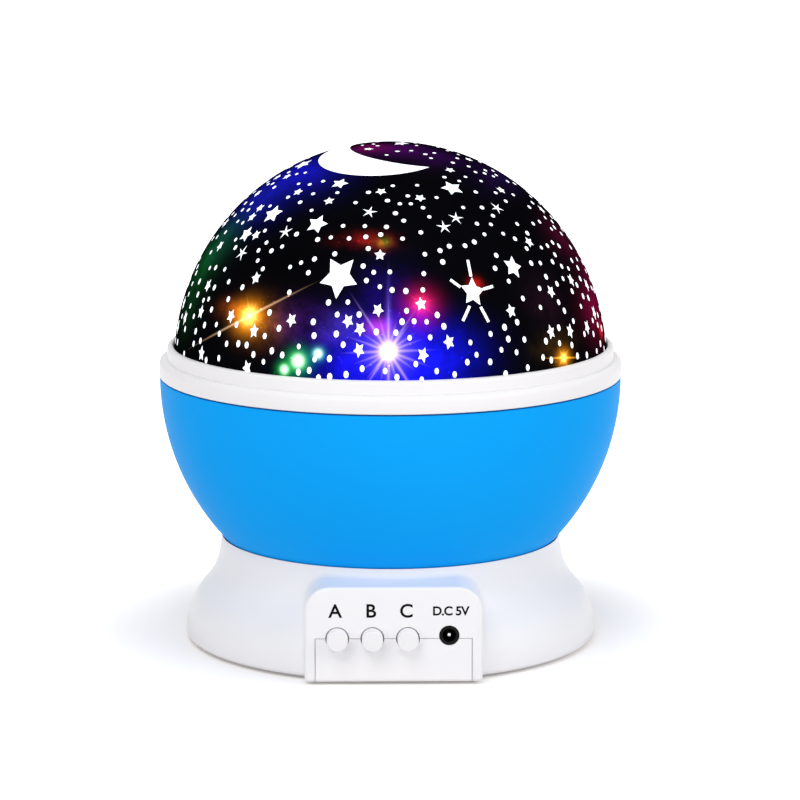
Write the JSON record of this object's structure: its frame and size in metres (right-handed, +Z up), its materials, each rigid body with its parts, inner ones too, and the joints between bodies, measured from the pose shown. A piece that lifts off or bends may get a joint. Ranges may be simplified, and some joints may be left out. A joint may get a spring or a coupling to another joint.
{
  "type": "star night light projector",
  "caption": "Rotating night light: white flared foot with push buttons, blue bowl and a lift-off black dome with star and moon windows.",
  "frame": {"origin": "on the table, under the middle of the foot (bottom centre of the bounding box)", "axes": "+Z up along the axis that the bowl turns about; -Y towards the button panel; +X to the right of someone facing the panel"},
  "size_m": [0.125, 0.125, 0.1349],
  "materials": {
    "white_plastic": "satin moulded ABS",
    "inner_plastic": "matt moulded ABS",
    "gear_plastic": "natural acetal",
    "blue_plastic": "smooth satin ABS",
    "mask_black": "glossy black print on plastic",
    "frosted_plastic": "frosted translucent polypropylene",
    "steel": "zinc plated",
    "motor_steel": "drawn steel can",
    "rubber": "soft pale rubber",
    "cell_jacket": "plain printed jacket",
    "board_green": "solder mask",
    "black_plastic": "moulded",
    "lead_jacket": "grey flexible jacket",
    "led_clear": "clear epoxy",
    "led_blue": "tinted epoxy",
    "led_green": "tinted epoxy",
    "led_red": "tinted epoxy"
  },
  "bodies": {
    "base": {"base_housing": "white_plastic", "bottom_cover": "white_plastic", "housing_screws": "steel", "rubber_feet": "rubber", "aaa_cells": "cell_jacket", "battery_contacts": "steel", "control_board": "board_green", "board_screws": "steel", "tact_switches": "black_plastic", "dc_jack": "black_plastic", "gearbox": "gear_plastic", "gearbox_screws": "steel", "drive_motor": "motor_steel", "thrust_washer": "gear_plastic", "led_post": "inner_plastic", "post_screws": "steel", "led_board": "board_green", "led_lead": "lead_jacket", "led_white": "led_clear", "led_blue": "led_blue", "led_green": "led_green", "led_red": "led_red"},
    "battery_door": {"battery_door": "white_plastic", "battery_door_screw": "steel"},
    "button_a": {"button_a": "white_plastic", "plunger_a": "black_plastic"},
    "button_b": {"button_b": "white_plastic", "plunger_b": "black_plastic"},
    "button_c": {"button_c": "white_plastic", "plunger_c": "black_plastic"},
    "pinion": {"drive_pinion": "gear_plastic", "drive_shaft": "steel"},
    "bowl": {"bowl": "blue_plastic", "turntable": "gear_plastic", "turntable_screws": "steel", "rim_ring": "white_plastic", "lamp_tray": "inner_plastic"},
    "dome": {"dome_ring": "white_plastic", "dome_shell": "frosted_plastic", "star_mask": "mask_black"}
  },
  "joints": [
    {"name": "bowl_spin", "type": "hinge", "parent": "base", "child": "bowl", "pos_m": [0, 0, 0.0256], "axis": [0, 0, 1], "continuous": true},
    {"name": "pinion_spin", "type": "hinge", "parent": "base", "child": "pinion", "pos_m": [0, 0.0192, 0.0224], "axis": [0, 0, 1], "continuous": true},
    {"name": "dome_lift", "type": "slide", "parent": "bowl", "child": "dome", "axis": [0, 0, 1], "range_m": [0, 0.09]},
    {"name": "battery_door_off", "type": "slide", "parent": "base", "child": "battery_door", "axis": [0, 0, -1], "range_m": [0, 0.03]},
    {"name": "press_a", "type": "slide", "parent": "base", "child": "button_a", "axis": [0, 1, 0], "range_m": [0, 0.0005], "stiffness_N_per_m": 1500, "springref_m": -0.0004},
    {"name": "press_b", "type": "slide", "parent": "base", "child": "button_b", "axis": [0, 1, 0], "range_m": [0, 0.0005], "stiffness_N_per_m": 1500, "springref_m": -0.0004},
    {"name": "press_c", "type": "slide", "parent": "base", "child": "button_c", "axis": [0, 1, 0], "range_m": [0, 0.0005], "stiffness_N_per_m": 1500, "springref_m": -0.0004}
  ],
  "couplings": [
    {"joint": "pinion_spin", "follows": "bowl_spin", "ratio": 5}
  ]
}
